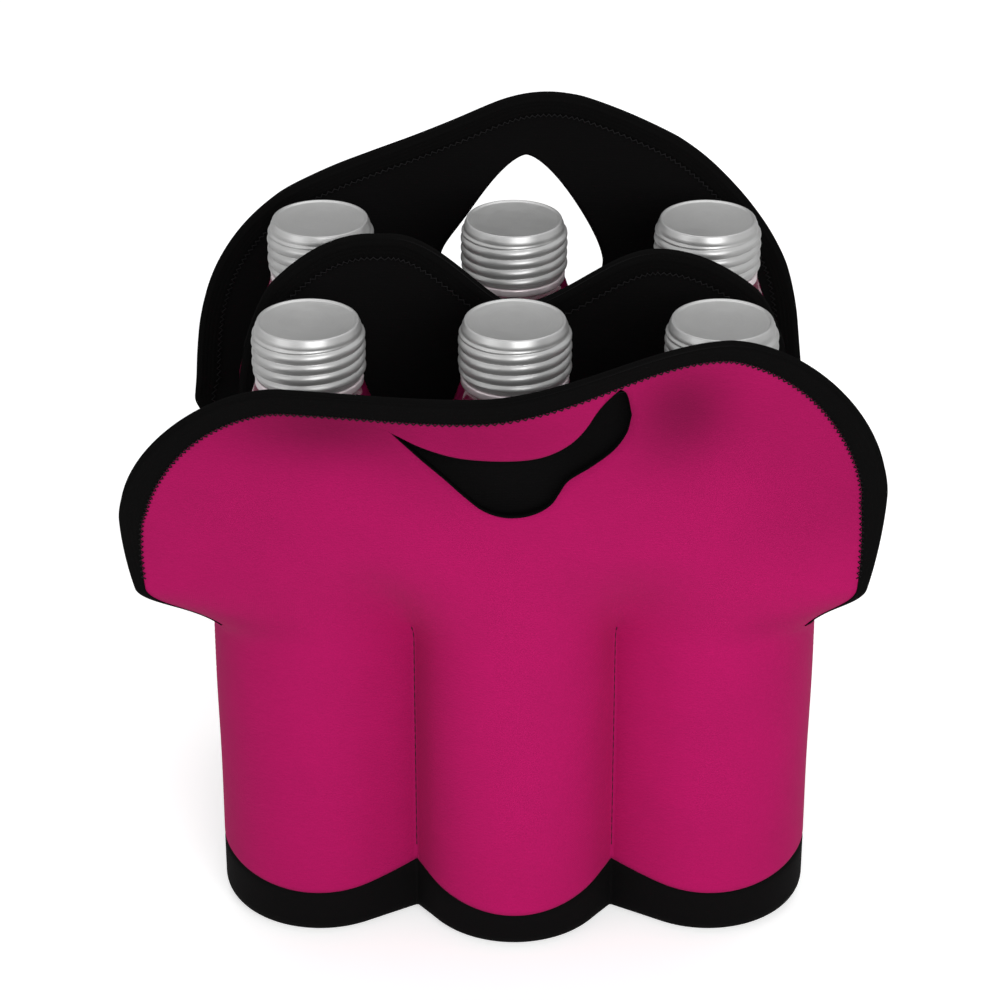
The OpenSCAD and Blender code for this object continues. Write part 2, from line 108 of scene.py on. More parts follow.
def bump(x, middle, width):
    """A bell: 1 at the middle, falling away over the width."""
    return np.exp(-(((x - middle) / width) ** 2))


def run_along(line):
    """Length gone along a line at each of its points."""
    return np.concatenate([[0], np.cumsum(np.linalg.norm(np.diff(line, axis=0), axis=1))])


def read_off(s, run, line):
    """Points of a line at the lengths s, where run is the length at each of its own points."""
    return np.stack([np.interp(s, run, line[:, k]) for k in (0, 1)], 1)


# The cloth's shape

def touch(centre, radius, point, turn):
    """Angle on a circle where the line from an outside point touches it."""
    away = point - centre
    return math.atan2(away[1], away[0]) + turn * math.acos(radius / math.hypot(*away))


def arc(centre, radius, start, end, steps):
    """Points on a circle from one angle to another."""
    a = np.linspace(start, end, steps + 1)
    return centre + radius * np.stack([np.cos(a), np.sin(a)], 1)


def half_curve(offset):
    """Right half of the pockets' section: middle lobe, crease, outer lobe and a straight run to the seam."""
    r = POCKET_R + offset
    middle = np.array([0, -ROW_Y - BULGE])
    outer = np.array([PITCH, -ROW_Y])
    crease = np.array([PITCH / 2, -ROW_Y - CREASE_OUT - offset])
    seam = SEAM + [offset, 0]
    low = arc(middle, r, -math.pi / 2, touch(middle, r, crease, -1), 24)
    high = arc(outer, r, touch(outer, r, crease, 1), touch(outer, r, seam, -1), 60)
    run = mix(high[-1], seam, np.linspace(1 / 6, 1, 6)[:, None])
    return np.concatenate([low, [crease], high, run])


MID = half_curve(0)
OUT = (half_curve(SHEET_T / 2) - half_curve(-SHEET_T / 2)) / SHEET_T
LENGTH = run_along(MID)
HALF = LENGTH[-1]
CREASE_U = LENGTH[25]

# The same section with its creases rounded, for the cloth above the pocket seams
EVEN = np.linspace(-HALF, HALF, 801)


def rounded(values, odd):
    """Values along the half section, mirrored and averaged over a sliding width of cloth."""
    line = np.interp(np.abs(EVEN), LENGTH, values) * (np.sign(EVEN) if odd else 1)
    reach = np.arange(-60, 61)
    weights = np.exp(-((reach / 22) ** 2))
    padded = np.pad(line, 60, mode="reflect", reflect_type="odd")
    return np.convolve(padded, weights / weights.sum(), "valid")


SOFT = [rounded(values[:, k], k == 0) for values in (MID, OUT) for k in (0, 1)]


def along_half(u, values):
    """Values given along the half section, read at the lengths u to either side of its middle."""
    return np.interp(np.abs(u), LENGTH, values)


def opened(u, z):
    """How far the sheet has opened from its pockets to the flat flap: 0 below the bend, 1 above it."""
    edge = ease((np.abs(u) - CREASE_U) / (WING_W - CREASE_U))
    low = WEB_H - 2 * MM
    high = mix(HINGE_H + 38 * MM, HINGE_H + 18 * MM, edge)
    return ease((z - low) / (high - low))


# Soft folds of the foam sheet: how far outwards, where along it and how wide, at what height and how high, and
# whether the other side has the same
FOLDS = (
    (0.9 * MM, CREASE_U + 26 * MM, 18 * MM, 128 * MM, 22 * MM, True),
    (-1.3 * MM, CREASE_U, 9 * MM, 124 * MM, 20 * MM, True),
    (-1.6 * MM, -46 * MM, 20 * MM, 187 * MM, 16 * MM, False),
    (-1.2 * MM, 58 * MM, 24 * MM, 204 * MM, 16 * MM, False),
)

# Painted shade on the front flap: how dark, where along it and how wide, at what height and how high
FRONT_PAINTED_SHADES = (
    (0.42, -52 * MM, 26 * MM, 197 * MM, 14 * MM),
    (0.25, -4 * MM, 34 * MM, 194 * MM, 22 * MM),
    (0.1, -84 * MM, 22 * MM, 197 * MM, 16 * MM),
    (0.45, 55 * MM, 18 * MM, 202 * MM, 19 * MM),
)


def folds(u, z):
    """Distance outwards of the sheet's soft dips and swells: a sum of bells and one slow wave."""
    out = 0
    for deep, at, wide, height, high, mirrored in FOLDS:
        out = out + deep * bump(np.abs(u) if mirrored else u, at, wide) * bump(z, height, high)
    return out + 0.35 * MM * np.sin(u / (13 * MM) + z / (19 * MM)) * ease((z - 20 * MM) / (60 * MM))


def painted_shade(u, z, pose):
    """How much painted shade darkens the cloth's colour in its soft dips, as a sum of bells and soft steps:
    beside the slot, under the tape, along the creases and toward the side seams."""
    a = np.abs(u)
    low = 1 - ease((z - 96 * MM) / (22 * MM))
    # Painted shade: darker along the creases, most on the left one, and toward the side seams, below the bend.
    crease = np.where(u < 0, 0.2, 0.05) * bump(a, CREASE_U - 5 * MM, 12 * MM)
    out = (crease + 0.12 * ease((a - HALF + 24 * MM) / (24 * MM))) * low
    # Painted shade: darker toward the top and toward the left, and in a band at the bend out toward the wings.
    out = out + 0.06 * ease((z - 110 * MM) / (60 * MM)) + 0.07 * ease(-u / (100 * MM))
    out = out + 0.1 * bump(z, 118 * MM, 5 * MM) * ease((a - 70 * MM) / (22 * MM))
    # Painted shade on the front flap only: over the right shoulder, under the tape and round the slot.
    if pose["turn"] > 0:
        out = out + 0.11 * ease((u - 62 * MM) / (30 * MM)) * ease((z - 135 * MM) / (30 * MM))
        for dark, at, wide, height, high in FRONT_PAINTED_SHADES:
            out = out + dark * bump(u, at, wide) * bump(z, height, high)
    return np.clip(out, 0, 0.6)


def sheet(u, z, offset, pose):
    """A point of the cloth at length u and height z: the pocket section below the bend, the flat flap above it,
    mixed in between, with the flap's sideways shift and its lean."""
    a = np.abs(u)
    side = np.sign(u)
    sharp = [along_half(u, values[:, k]) * (side if k == 0 else 1) for values in (MID, OUT) for k in (0, 1)]
    soft = [np.interp(u, EVEN, values) for values in SOFT]
    softness = ease((z - WEB_H + 3 * MM) / (16 * MM))
    x, y, ox, oy = (mix(p, q, softness) for p, q in zip(sharp, soft))
    offset = offset + folds(u, z)
    w = opened(u, z)
    flat_x = u + pose["shift"]
    flat_y = -FLAP_Y + WING_BACK * (a / WING_W) ** 2.5 - offset
    x = mix(x + offset * ox, flat_x, w)
    y = mix(y + offset * oy, flat_y, w) - pose["lean"] * np.maximum(0, z - HINGE_H)
    return np.stack([x, y * pose["turn"], z + 0 * x], -1)


def band_h(x):
    """Height of the base band: a shallow arc under each pocket that climbs to the creases."""
    a = np.abs(x)
    middle = mix(BAND_MIDDLE, BAND_CREASE, (2 * a / PITCH) ** 2)
    outer = mix(BAND_OUTER, BAND_CREASE, (2 * (a - PITCH) / PITCH) ** 2)
    return np.where(a < PITCH / 2, middle, outer)


# Meshes

def put(name, data):
    """A new object of the scene."""
    made = bpy.data.objects.new(name, data)
    bpy.context.scene.collection.objects.link(made)
    return made


def make(name, points, faces, *paints, slots=None, cloth=None, hollow=None):
    """A smooth mesh object from points, faces and materials, with a material number for each face, a map in
    metres where the pattern follows the surface, and how much painted shade darkens each point."""
    mesh = bpy.data.meshes.new(name)
    mesh.from_pydata(points.reshape(-1, 3).tolist(), [], faces if isinstance(faces, list) else faces.tolist())
    mesh.polygons.foreach_set("use_smooth", np.full(len(mesh.polygons), True))
    if slots is not None:
        mesh.polygons.foreach_set("material_index", slots.astype(np.int32))
    if cloth is not None:
        corner = np.zeros(len(mesh.loops), np.int32)
        mesh.loops.foreach_get("vertex_index", corner)
        layer = mesh.uv_layers.new(name="cloth")
        layer.data.foreach_set("uv", cloth.reshape(-1, 2)[corner].astype(np.float32).ravel())
    # The hollow attribute holds painted shade: how much darker each point's colour is drawn.
    if hollow is not None:
        mesh.attributes.new("hollow", "FLOAT", "POINT").data.foreach_set("value", hollow.astype(np.float32))
    mesh.validate()
    for paint in paints:
        mesh.materials.append(paint)
    return put(name, mesh)


def quads(rows, cols, start=0, around=False, flip=False):
    """Faces of a grid of points, closed round its columns when asked."""
    r = np.arange(rows - 1)[:, None]
    c = np.arange(cols if around else cols - 1)[None, :]
    a = start + r * cols + c
    b = start + r * cols + (c + 1) % cols
    faces = np.stack([a, b, b + cols, a + cols], -1).reshape(-1, 4)
    return faces[:, ::-1] if flip else faces


def tube(path, radius):
    """Rings of a thread carried along a path: each point plus the radius times the cosine and the sine of an
    angle along two steps square to the path."""
    ahead = np.gradient(path, axis=0)
    ahead /= np.linalg.norm(ahead, axis=1, keepdims=True)
    across = np.cross(ahead, [0.31, 0.52, 0.79])
    across /= np.linalg.norm(across, axis=1, keepdims=True)
    up = np.cross(across, ahead)
    a = np.linspace(0, 2 * math.pi, THREAD_SIDES, endpoint=False)
    ring = across[:, None] * np.cos(a)[None, :, None] + up[:, None] * np.sin(a)[None, :, None]
    return path[:, None] + ring * np.broadcast_to(radius, len(path))[:, None, None]


def thread(name, paths, radius, paint):
    """Lengths of thread as one piece: a tube along each path, its ends hidden in the cloth."""
    points, faces, start = [], [], 0
    for path in paths:
        points.append(tube(path, radius).reshape(-1, 3))
        faces.append(quads(len(path), THREAD_SIDES, start, around=True))
        start += len(points[-1])
    return make(name, np.concatenate(points), np.concatenate(faces), paint)


# Materials

def new_group(name, inputs, outputs):
    """An empty node group with named inputs and outputs, and its two end nodes."""
    group = bpy.data.node_groups.new(name, "ShaderNodeTree")
    for label, kind, value in inputs:
        socket = group.interface.new_socket(label, in_out="INPUT", socket_type=kind)
        socket.default_value = value
    for label, kind in outputs:
        group.interface.new_socket(label, in_out="OUTPUT", socket_type=kind)
    return group, group.nodes.new("NodeGroupInput"), group.nodes.new("NodeGroupOutput")


def node(tree, kind, **values):
    """A node with its settings and the values of its inputs, by name."""
    made = tree.nodes.new(kind)
    for key, value in values.items():
        if hasattr(made, key):
            setattr(made, key, value)
        else:
            made.inputs[key.replace("_", " ")].default_value = value
    return made


def maths(tree, operation, first, second):
    """A Math node fed by sockets or numbers."""
    made = tree.nodes.new("ShaderNodeMath")
    made.operation = operation
    for place, value in enumerate((first, second)):
        if isinstance(value, (int, float)):
            made.inputs[place].default_value = value
        else:
            tree.links.new(value, made.inputs[place])
    return made.outputs[0]


def knit_group():
    """Fine jersey face: rows of tiny loops on the cloth map, sines along it shifted by sines across it, broken
    up by fibre noise, with slow colour change and painted shade read from the hollow attribute."""
    group, given, result = new_group(
        "fine_knit",
        [("Colour", "NodeSocketColor", (1, 1, 1, 1)), ("Shade", "NodeSocketFloat", 0.12),
         ("Loops", "NodeSocketFloat", 900)],
        [("Colour", "NodeSocketColor"), ("Height", "NodeSocketFloat"), ("Roughness", "NodeSocketFloat")],
    )
    link = group.links.new
    calc = partial(maths, group)
    place = node(group, "ShaderNodeUVMap", uv_map="cloth")
    split = node(group, "ShaderNodeSeparateXYZ")
    link(place.outputs[0], split.inputs[0])
    across = calc("SINE", calc("MULTIPLY", split.outputs[0], given.outputs["Loops"]), 0)
    tilt = calc("MULTIPLY", calc("ABSOLUTE", across, 0), 1.6)
    along = calc("MULTIPLY", split.outputs[1], given.outputs["Loops"])
    loops = calc("SINE", calc("ADD", calc("MULTIPLY", along, 1.3), tilt), 0)
    fibre = node(group, "ShaderNodeTexNoise", Scale=2600, Detail=3, Roughness=0.6)
    cloudy = node(group, "ShaderNodeTexNoise", Scale=42, Detail=4, Roughness=0.55)
    spot = node(group, "ShaderNodeTexCoord")
    for noise in (fibre, cloudy):
        link(spot.outputs["Object"], noise.inputs["Vector"])
    fuzz = calc("MULTIPLY", fibre.outputs[0], 1.2)
    link(calc("ADD", calc("MULTIPLY", loops, 0.5), fuzz), result.inputs["Height"])
    worn = calc("MULTIPLY", calc("SUBTRACT", cloudy.outputs[0], 0.5), given.outputs["Shade"])
    grain = calc("MULTIPLY", calc("SUBTRACT", fibre.outputs[0], 0.5), 0.35)
    scale = calc("ADD", calc("ADD", worn, grain), 1.0)
    # Painted shade: the hollow attribute darkens the colour where shade would fall.
    hollow = node(group, "ShaderNodeAttribute", attribute_name="hollow")
    scale = calc("MULTIPLY", scale, calc("SUBTRACT", 1.0, hollow.outputs["Fac"]))
    tint = node(group, "ShaderNodeVectorMath", operation="SCALE")
    link(given.outputs["Colour"], tint.inputs[0])
    link(scale, tint.inputs["Scale"])
    link(tint.outputs[0], result.inputs["Colour"])
    rough = calc("ADD", calc("MULTIPLY", cloudy.outputs[0], 0.12), 0.76)
    link(rough, result.inputs["Roughness"])
    return group


def streak_group():
    """Fine brushing lines along the metal's map, longer one way than the other."""
    group, given, result = new_group(
        "brushed_streaks",
        [("Colour", "NodeSocketColor", (1, 1, 1, 1)), ("Fineness", "NodeSocketFloat", 1)],
        [("Colour", "NodeSocketColor"), ("Height", "NodeSocketFloat"), ("Roughness", "NodeSocketFloat")],
    )
    link = group.links.new
    calc = partial(maths, group)
    place = node(group, "ShaderNodeUVMap", uv_map="cloth")
    stretch = node(group, "ShaderNodeMapping")
    stretch.inputs["Scale"].default_value = (60, 5200, 1)
    link(place.outputs[0], stretch.inputs["Vector"])
    noise = node(group, "ShaderNodeTexNoise", Scale=1, Detail=4, Roughness=0.65)
    link(stretch.outputs[0], noise.inputs["Vector"])
    scuff = node(group, "ShaderNodeTexNoise", Scale=180, Detail=5, Roughness=0.7)
    spot = node(group, "ShaderNodeTexCoord")
    link(spot.outputs["Object"], scuff.inputs["Vector"])
    scale = calc("ADD", calc("MULTIPLY", noise.outputs[0], 0.34), 0.82)
    tint = node(group, "ShaderNodeVectorMath", operation="SCALE")
    link(given.outputs["Colour"], tint.inputs[0])
    link(scale, tint.inputs["Scale"])
    link(tint.outputs[0], result.inputs["Colour"])
    link(calc("MULTIPLY", noise.outputs[0], given.outputs["Fineness"]), result.inputs["Height"])
    rough = calc("ADD", calc("MULTIPLY", scuff.outputs[0], 0.22), 0.2)
    brushed = calc("MULTIPLY", noise.outputs[0], 0.12)
    link(calc("ADD", rough, brushed), result.inputs["Roughness"])
    return group


KNIT = knit_group()
STREAKS = streak_group()


def material(name, **values):
    """A material with one Principled BSDF, its plain values set on its own sockets."""
    made = bpy.data.materials.new(name)
    made.use_nodes = True
    shader = made.node_tree.nodes["Principled BSDF"]
    for key, value in values.items():
        shader.inputs[key.replace("_", " ")].default_value = value
    return made, made.node_tree, shader


def patterned(name, group, colour, depth, settings, **values):
    """A material whose colour, roughness and relief come from a shared group."""
    made, tree, shader = material(name, **values)
    effect = tree.nodes.new("ShaderNodeGroup")
    effect.node_tree = group
    effect.inputs["Colour"].default_value = (*colour, 1)
    for key, value in settings.items():
        effect.inputs[key].default_value = value
    relief = node(tree, "ShaderNodeBump", Strength=0.6, Distance=depth)
    tree.links.new(effect.outputs["Colour"], shader.inputs["Base Color"])
    tree.links.new(effect.outputs["Roughness"], shader.inputs["Roughness"])
    tree.links.new(effect.outputs["Height"], relief.inputs["Height"])
    tree.links.new(relief.outputs[0], shader.inputs["Normal"])
    return made


magenta = patterned("magenta_knit", KNIT, (0.43, 0.0055, 0.108), 0.05 * MM, {"Shade": 0.16, "Loops": 5200},
                    Sheen_Weight=0.02, Sheen_Roughness=0.5, Specular_IOR_Level=0.09)
black = patterned("black_knit", KNIT, (0.0018, 0.0016, 0.0017), 0.06 * MM, {"Shade": 0.5, "Loops": 5200},
                  Specular_IOR_Level=0.07)
tape = patterned("black_tape", KNIT, (0.0012, 0.0011, 0.0011), 0.1 * MM, {"Shade": 0.4, "Loops": 3600},
                 Specular_IOR_Level=0.06)
dark_thread, _, _ = material("dark_thread", Base_Color=(0.004, 0.0035, 0.004, 1), Roughness=0.6,
                             Specular_IOR_Level=0.15)
wine_thread, _, _ = material("wine_thread", Base_Color=(0.05, 0.003, 0.014, 1), Roughness=0.6,
                             Specular_IOR_Level=0.2)
metal = patterned("rolled_aluminium", STREAKS, (0.47, 0.47, 0.467), 0.02 * MM, {"Fineness": 1}, Metallic=0.5)
band_paint = patterned("pale_band", STREAKS, (0.82, 0.72, 0.75), 0.01 * MM, {"Fineness": 0.5},
                       Metallic=0.35, Coat_Weight=0.3, Coat_Roughness=0.15)
seal, _, _ = material("soft_seal", Base_Color=(0.78, 0.78, 0.74, 1), Roughness=0.6)
glass, _, _ = material("clear_glass", Base_Color=(0.96, 0.98, 0.975, 1), Roughness=0.02, IOR=1.5,
                       Transmission_Weight=1.0)
drink_red, _, _ = material("red_drink", Base_Color=(0.2, 0.004, 0.05, 1), Roughness=0.3,
                           Specular_IOR_Level=0.05)


# Free edges of the flaps, as lengths along the cloth and heights above the bend

def swell(v, fullness):
    """A cosine or sine raised to 2 over the fullness, with its sign kept."""
    return np.sign(v) * np.abs(v) ** (2 / fullness)


def quarter(centre, across, high, start, end, fullness, steps):
    """A quarter of a superellipse, without its first point."""
    g = np.radians(np.linspace(start, end, steps + 1)[1:])
    return np.stack([centre[0] + across * swell(np.cos(g), fullness),
                     centre[1] + high * swell(np.sin(g), fullness)], 1)


def front_edge():
    """From the left root round the left wing, over shoulder, dip and shoulder, and round the right wing to its
    root: quarters of superellipses joined by soft steps."""
    root, tip, shoulder, fullness = 106, 119, 67, 1.7
    left_h, right_h, left_top, right_top, dip, dip_x = 44, 53, 95, 112, 93, 8
    x = np.linspace(-shoulder, shoulder, 241)[1:]
    left = mix(dip, left_top, ease((-dip_x - x) / (shoulder - dip_x)))
    right = mix(dip, right_top, ease((x + dip_x) / (shoulder + dip_x)))
    points = np.concatenate([
        [[-root, 0]],
        quarter((-root, left_h), tip - root, left_h, 270, 180, fullness, 40),
        quarter((-shoulder, left_h), tip - shoulder, left_top - left_h, 180, 90, fullness, 90),
        np.stack([x, np.where(x < -dip_x, left, right)], 1),
        quarter((shoulder, right_h), tip - shoulder, right_top - right_h, 90, 0, fullness, 90),
        quarter((root, right_h), tip - root, right_h, 0, -90, fullness, 40),
    ])
    return even(points * MM + [0, HINGE_H], 700)


def handle_edge():
    """Two short upright sides, a full shoulder on each and a long slope up to a rounded top, as a smooth line
    through points in millimetres."""
    points = [(-107, 0), (-106.6, 14), (-105.4, 26), (-104.7, 36), (-103.5, 46.5), (-101.8, 54), (-99.5, 61),
              (-96.2, 68), (-91.5, 75.3), (-85.8, 82), (-78.8, 88.2), (-71.3, 93.1), (-57.5, 99.2),
              (-43.8, 104.2), (-30, 109.3), (-16.2, 115), (-2.5, 121), (4.3, 123.4), (11, 124.8),
              (17.8, 125.2), (24.5, 124.6), (31.5, 123), (45, 118.1), (58.8, 112), (65.5, 108.2), (72.5, 103),
              (79.5, 96.4), (86.5, 88.6), (93.5, 79), (98.8, 69.3), (101.5, 61.5), (103.5, 52), (104.9, 40),
              (106, 29), (106.8, 14), (107, 0)]
    return through(points, 700) * MM + [0, HINGE_H]


def even(points, count):
    """The same line with its points spaced evenly along it."""
    run = run_along(points)
    return read_off(np.linspace(0, run[-1], count), run, points)


def inwards(edge):
    """Unit steps from a free edge into the cloth."""
    ahead = np.gradient(edge, axis=0)
    ahead /= np.linalg.norm(ahead, axis=1, keepdims=True)
    return np.stack([ahead[:, 1], -ahead[:, 0]], 1)


def tape_width(edge, ramp, drawn=0.0):
    """Width of the tape along an edge, growing from nothing at its two ends, wider round the wings and drawn in
    over the right shoulder by a share."""
    run = run_along(edge)
    near = np.minimum(run, run[-1] - run)
    wing = 1 + 0.18 * bump(np.abs(edge[:, 0]), 117 * MM, 14 * MM)
    return TAPE_W * np.clip(near / ramp + 0.03, 0, 1) * (1 - drawn * bump(edge[:, 0], 48 * MM, 32 * MM)) * wing


def held_up(points, low):
    """Points kept at or above a height."""
    return np.stack([points[..., 0], np.maximum(points[..., 1], low)], -1)


def through(points, count):
    """A smooth line through points, by Catmull and Rom's cubic, spaced evenly along its length."""
    p = np.array(points, float)
    p = np.concatenate([[2 * p[0] - p[1]], p, [2 * p[-1] - p[-2]]])
    t = np.linspace(0, 1, 24, endpoint=False)[:, None]
    line = []
    for before, start, end, after in zip(p, p[1:], p[2:], p[3:]):
        line.append(0.5 * (2 * start + (end - before) * t + (2 * before - 5 * start + 4 * end - after) * t ** 2
                           + (3 * start - before - 3 * end + after) * t ** 3))
    return even(np.concatenate(line + [p[-2:-1]]), count)


def slot_outline(count=130):
    """Finger slot, from its pointed left tip to its right end, as two smooth lines through points in
    millimetres: a bowl below, an arm that climbs to a blunt top."""
    lower = through([(-34, 83), (-25, 73.6), (-17.5, 66.3), (-11.5, 60), (-6, 55), (0, 52.5), (6, 52.4),
                     (11, 54), (15, 57), (17.4, 61), (20.2, 65.6), (27, 70.6), (33.5, 76.4), (37.4, 82.6),
                     (38.8, 89)], count)
    upper = through([(-34, 83), (-25, 78), (-15, 74.5), (-5, 73.1), (5.5, 73), (13.4, 74.6), (20.2, 78.6),
                     (25, 84.2), (29, 91.6), (32, 96.3), (34.6, 98.2), (37.2, 96.4), (38.8, 89)], count)
    return lower * MM + [0, HINGE_H], upper * MM + [0, HINGE_H]


def grip_outline(count=260):
    """Bell-shaped hand opening: wide and rounded at its foot, flared to the left, drawn in to a blunt top."""
    a = np.radians(np.linspace(-90, 270, count, endpoint=False) + 0.01)
    t = 0.5 + 0.5 * np.sin(a)
    half_w, middle_x, foot_h, high, flare = 35.5, 9.8, 51, 53, 3.2
    w = half_w * (1 - t) ** 0.65 * np.sqrt(1 - (1 - t) ** 6)
    w = w + np.where(np.cos(a) < 0, flare * bump(t, 0.3, 0.2), 0)
    return np.stack([np.sign(np.cos(a)) * w + middle_x, foot_h + high * t], 1) * MM + [0, HINGE_H]


# Cloth pieces

def pocket_grid(pose, rows=64):
    """Lengths and heights of the pocket part, from the base band up to the bend. Past the creases the cloth
    narrows above the side seams, from the seam to the root of the flap."""
    middle = np.linspace(-CREASE_U, CREASE_U, 53)
    outer = np.linspace(CREASE_U, HALF, 86)[1:]
    u = np.concatenate([-outer[::-1], middle, outer])
    t = np.linspace(0, 1, rows)[:, None] ** 1.5
    z = mix(band_h(along_half(u, MID[:, 0]))[None, :] + 0.02 * MM, HINGE_H, t)
    share = np.clip((z - SEAM_H) / (HINGE_H - SEAM_H), 0, 1)
    edge = mix(HALF, pose["root"], share)
    a = np.abs(u)[None, :]
    narrowed = CREASE_U + (a - CREASE_U) * (edge - CREASE_U) / (HALF - CREASE_U)
    return np.sign(u)[None, :] * np.where(a > CREASE_U, narrowed, a), z


def flap_ring(edge, foot_u, hole, rows=40):
    """Lengths and heights between the hole and the outline of a flap: straight lines joined from one to the
    other, one for each point of the outline."""
    rim = edge[::-1]
    outer = np.concatenate([np.stack([foot_u, np.full(len(foot_u), HINGE_H)], 1), rim[1:-1]])
    inner = hole(outer)
    t = np.linspace(0, 1, rows)[:, None, None] ** 0.85
    return mix(inner[None], outer[None], t)


def stretch(points, start, end):
    """Points of a closed line from one number to another, going past its end when needed."""
    past = len(points) if end <= start else 0
    return np.take(points, np.arange(start, end + 1 + past), axis=0, mode="wrap")


def slot_hole(outer):
    """The slot's outline shared out between places that face each other on the slot and on the flap's outline:
    the pointed tip, the foot of the bowl, the right end and its blunt top."""
    lower, upper = slot_outline()
    lip = np.concatenate([lower, upper[::-1][1:-1]])
    facing = [((-34, 83), (-60, 95)), ((3, 52), (0, 0)), ((38.8, 89), (110, 88)), ((34.6, 98), (54, 110))]
    def nearest(points, place):
        return int(np.argmin(np.linalg.norm(points - (np.array(place) * MM + [0, HINGE_H]), axis=1)))
    inner = np.zeros_like(outer)
    for (from_lip, from_edge), (to_lip, to_edge) in zip(facing, facing[1:] + facing[:1]):
        start, end = nearest(outer, from_edge), nearest(outer, to_edge)
        along = stretch(outer, start, end)
        part = stretch(lip, nearest(lip, from_lip), nearest(lip, to_lip))
        inner[np.arange(start, start + len(along)) % len(outer)] = share_out(part, along)
    return inner


def share_out(line, along):
    """Points of one line spaced in the same shares as the points of another."""
    run, own = run_along(along), run_along(line)
    return read_off(run / run[-1] * own[-1], own, line)


def grip_hole(outer):
    """The hand opening's outline, at points that lie the same way from its middle as those of the flap's."""
    inner = grip_outline()
    def angle(points):
        return np.arctan2(points[:, 1] - HINGE_H - 68 * MM, points[:, 0] - 10.5 * MM)
    order = np.argsort(angle(inner))
    turn = angle(inner)[order]
    turn = np.concatenate([turn - 2 * math.pi, turn, turn + 2 * math.pi])
    return read_off(angle(outer), turn, np.concatenate([inner[order]] * 3))


def cut_area(flat, faces):
    """Area of a flat cut from its faces, laid flat."""
    x, y = flat[faces].transpose(2, 0, 1)
    return float(np.abs((x * np.roll(y, -1, 1) - y * np.roll(x, -1, 1)).sum(1)).sum() / 2)


def two_faced(name, pose, edge, hole):
    """A whole front or rear sheet: pocket part and flap joined along the bend, with an outer face, an inner
    face and the cut edges between them. Its flat area comes with it."""
    low_u, low_z = pocket_grid(pose)
    low = np.stack([low_u, low_z], -1)
    ring = flap_ring(edge, low_u[-1], hole)
    rows, cols = low.shape[:2]
    flat = np.concatenate([low.reshape(-1, 2), ring.reshape(-1, 2)])
    start = rows * cols
    count = ring.shape[1]
    skin = np.concatenate([quads(rows, cols), quads(len(ring), count, start, around=True, flip=True)])
    size = len(flat)
    last = start + (len(ring) - 1) * count
    rims = []
    for line in (
        np.append(start + np.arange(count), start),
        np.append(last + np.arange(cols - 1, count), last),
        np.arange(cols)[::-1],
        np.arange(rows) * cols,
        (np.arange(rows) * cols + cols - 1)[::-1],
    ):
        rims.append(np.stack([line[:-1], line[1:], line[1:] + size, line[:-1] + size], -1))
    rims = np.concatenate(rims)
    faces = np.concatenate([skin, skin[:, ::-1] + size, rims])
    above = flat[:, 1] - band_h(along_half(flat[:, 0], MID[:, 0]))
    outer = sheet(flat[:, 0], flat[:, 1], SHEET_T / 2 - SEAM_PINCH * bump(above, 0, 0.9 * MM), pose)
    inner = sheet(flat[:, 0], flat[:, 1], -SHEET_T / 2, pose)
    if pose["turn"] < 0:
        faces = faces[:, ::-1]
    slots = np.concatenate([np.zeros(len(skin)), np.ones(len(skin)), np.ones(len(rims))])
    # Painted shade, the same for both faces, kept as the hollow attribute.
    dark = painted_shade(flat[:, 0], flat[:, 1], pose)
    piece = make(name, np.concatenate([outer, inner]), faces, magenta, black, slots=slots,
                 cloth=np.concatenate([flat, flat]), hollow=np.concatenate([dark, dark]))
    weld(piece)
    return piece, cut_area(flat, skin)


def weld(piece):
    """Joins points that lie on each other."""
    shape = bmesh.new()
    shape.from_mesh(piece.data)
    bmesh.ops.remove_doubles(shape, verts=shape.verts, dist=WELD_GAP)
    shape.to_mesh(piece.data)
    shape.free()


def tape_section(width):
    """Half of the folded tape's section, as depths from the free edge and heights from the middle: a low inner
    edge, a flat face and a round fold over the free edge."""
    h = SHEET_T / 2 + TAPE_T
    g = np.radians(np.linspace(90, 0, 7))
    d = np.concatenate([[1, 0.98, 0.93], np.linspace(0.8, 0.32, 5)])
    o = np.concatenate([[SHEET_T / 2 - 0.05 * MM, h - 0.25 * MM, h - 0.06 * MM], np.full(5, h)])
    fold = 1.8 * MM
    depth = np.concatenate([d[None] * width[:, None],
                            np.minimum(fold, 0.3 * width[:, None]) * (1 - np.cos(g))[None][:, ::-1]], 1)
    height = np.concatenate([o, h * np.sin(g)])
    return depth, height


def bound_edge(name, edge, width, place, outward):
    """Folded tape carried round a free edge: one closed section at each point of the edge."""
    depth, height = tape_section(width)
    depth = np.concatenate([depth, depth[:, ::-1][:, 1:]], 1)
    height = np.concatenate([height, -height[::-1][1:]])
    at = edge[:, None, :] + depth[..., None] * inwards(edge)[:, None, :]
    at = held_up(at, edge[0, 1])
    points = place(at[..., 0], at[..., 1], np.broadcast_to(height, depth.shape))
    rows, cols = depth.shape
    run = run_along(edge)
    map_ = np.stack([np.broadcast_to(run[:, None], depth.shape), depth + height[None] * 0.5], -1)
    return make(name, points, quads(rows, cols, around=True, flip=outward < 0), tape, cloth=map_)


def zigzag(name, edge, width, place):
    """Overlock thread that steps to and fro over the tape's inner edge, on both faces."""
    run = run_along(edge)
    count = int(run[-1] / (STITCH_PITCH / 2))
    wide = run[width > 0.55 * TAPE_W]
    s = np.linspace(wide[0], wide[-1], count)
    w = np.interp(s, run, width)
    swing = np.where(np.arange(count) % 2 == 0, 1, -1)
    step = read_off(s, run, inwards(edge))
    at = read_off(s, run, edge) + step * (w + 0.1 * MM + STITCH_SWING * swing)[:, None]
    at = held_up(at, edge[0, 1] + 1 * MM)
    lift = np.where(swing > 0, SHEET_T / 2 + 0.1 * MM, SHEET_T / 2 + TAPE_T + 0.02 * MM)
    return thread(name, [place(at[:, 0], at[:, 1], face * lift) for face in (1, -1)], THREAD_R, dark_thread)


